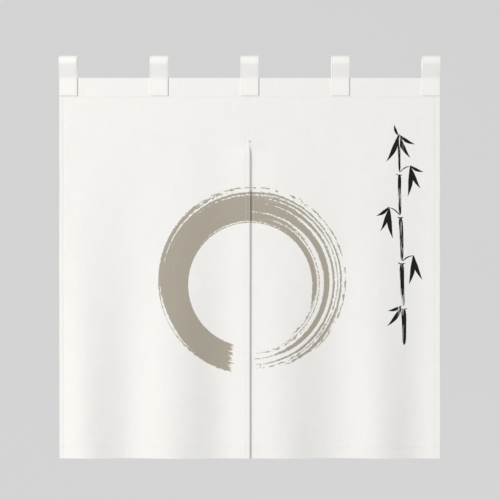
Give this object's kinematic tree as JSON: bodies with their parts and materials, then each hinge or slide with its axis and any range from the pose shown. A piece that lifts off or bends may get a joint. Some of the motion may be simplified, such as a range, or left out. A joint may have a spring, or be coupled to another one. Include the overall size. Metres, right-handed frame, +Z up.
{
  "type": "noren curtain",
  "caption": "Short split doorway curtain of white cotton, hemmed all round, with a slit up its middle and folded tabs along its top edge that hang it from a rod.",
  "frame": {"origin": "middle of the line along which the tab loops bear on the top of the rod", "axes": "+Z up, +X along the rod, -Y towards the viewer, on the printed front"},
  "size_m": [0.8502, 0.0316, 0.9],
  "materials": {
    "cotton_panel": "plain-woven white cotton, printed on the front with a taupe brushed ring and a black brushed bamboo",
    "cotton_tab": "folded strip of the same white cotton, stitched along both edges"
  },
  "bodies": {
    "root": {"cloth": "cotton_panel", "tab_1": "cotton_tab", "tab_2": "cotton_tab", "tab_3": "cotton_tab", "tab_4": "cotton_tab", "tab_5": "cotton_tab"}
  },
  "joints": []
}
